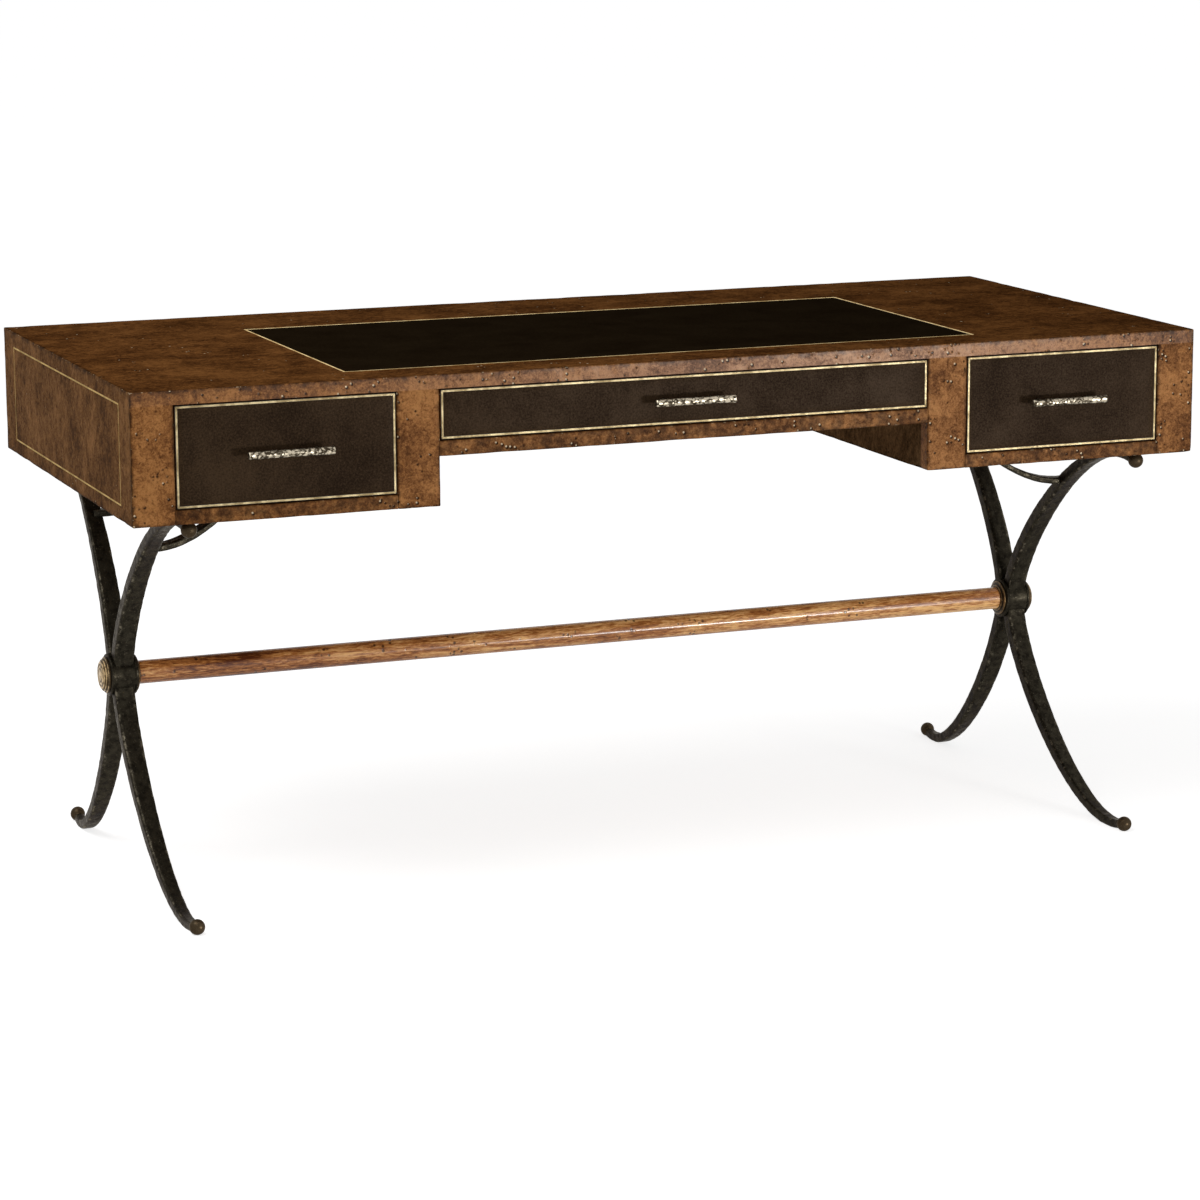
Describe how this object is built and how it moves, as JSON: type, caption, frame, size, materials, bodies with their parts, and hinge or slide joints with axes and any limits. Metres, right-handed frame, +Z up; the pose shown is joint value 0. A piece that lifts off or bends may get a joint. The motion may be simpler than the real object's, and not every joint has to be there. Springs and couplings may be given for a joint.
{
  "type": "writing desk",
  "caption": "Long flat-topped writing desk with sliding leather-faced drawers, an inset leather top and a veneered case on curved iron trestles tied by a round wooden stretcher.",
  "frame": {"origin": "on the floor, under the middle of the whole desk, handles included", "axes": "+X along the desk to the sitter's right, +Y to its back, +Z up"},
  "size_m": [1.65, 0.7708, 0.78],
  "materials": {
    "burl_veneer": "worn, waxed burl walnut veneer",
    "drawer_wood": "planed, unvarnished",
    "stretcher_wood": "turned and polished walnut",
    "leather": "aged dark brown hide",
    "brass_line": "flush strip, satin",
    "aged_brass": "turned, darkened",
    "wrought_iron": "hammered, black-brown patina",
    "handle_metal": "hammered, nickel-like",
    "steel": "plain"
  },
  "bodies": {
    "desk": {"desk_top": "burl_veneer", "end_panel_left": "burl_veneer", "end_panel_right": "burl_veneer", "back_panel_left": "burl_veneer", "back_panel_centre": "burl_veneer", "back_panel_right": "burl_veneer", "outer_stile_left": "burl_veneer", "outer_stile_right": "burl_veneer", "inner_stile_left": "burl_veneer", "inner_stile_right": "burl_veneer", "front_rail_left": "burl_veneer", "front_rail_centre": "burl_veneer", "front_rail_right": "burl_veneer", "kneehole_side_left": "burl_veneer", "kneehole_side_right": "burl_veneer", "pedestal_floor_left": "drawer_wood", "pedestal_floor_right": "drawer_wood", "centre_floor": "drawer_wood", "drawer_guides": "drawer_wood", "drawer_stops": "drawer_wood", "stretcher": "stretcher_wood", "top_leather": "leather", "top_inlay": "brass_line", "case_inlays": "brass_line", "finial_left": "aged_brass", "finial_right": "aged_brass", "stretcher_collar_left": "aged_brass", "stretcher_collar_right": "aged_brass", "bow_front_left": "wrought_iron", "bow_front_right": "wrought_iron", "bow_back_left": "wrought_iron", "bow_back_right": "wrought_iron", "hub_clasp_left": "wrought_iron", "hub_clasp_right": "wrought_iron", "scroll_brackets_left": "wrought_iron", "scroll_brackets_right": "wrought_iron", "tie_rod": "steel", "arm_screws": "steel"},
    "drawer_left": {"drawer_front_left": "burl_veneer", "drawer_leather_left": "leather", "drawer_line_left": "brass_line", "drawer_sides_left": "drawer_wood", "drawer_back_left": "drawer_wood", "drawer_bottom_left": "drawer_wood", "handle_left": "handle_metal"},
    "drawer_centre": {"drawer_front_centre": "burl_veneer", "drawer_leather_centre": "leather", "drawer_line_centre": "brass_line", "drawer_sides_centre": "drawer_wood", "drawer_back_centre": "drawer_wood", "drawer_bottom_centre": "drawer_wood", "handle_centre": "handle_metal"},
    "drawer_right": {"drawer_front_right": "burl_veneer", "drawer_leather_right": "leather", "drawer_line_right": "brass_line", "drawer_sides_right": "drawer_wood", "drawer_back_right": "drawer_wood", "drawer_bottom_right": "drawer_wood", "handle_right": "handle_metal"}
  },
  "joints": [
    {"name": "drawer_left_slide", "type": "slide", "parent": "desk", "child": "drawer_left", "axis": [0, -1, 0], "range_m": [0, 0.38]},
    {"name": "drawer_centre_slide", "type": "slide", "parent": "desk", "child": "drawer_centre", "axis": [0, -1, 0], "range_m": [0, 0.38]},
    {"name": "drawer_right_slide", "type": "slide", "parent": "desk", "child": "drawer_right", "axis": [0, -1, 0], "range_m": [0, 0.38]}
  ]
}
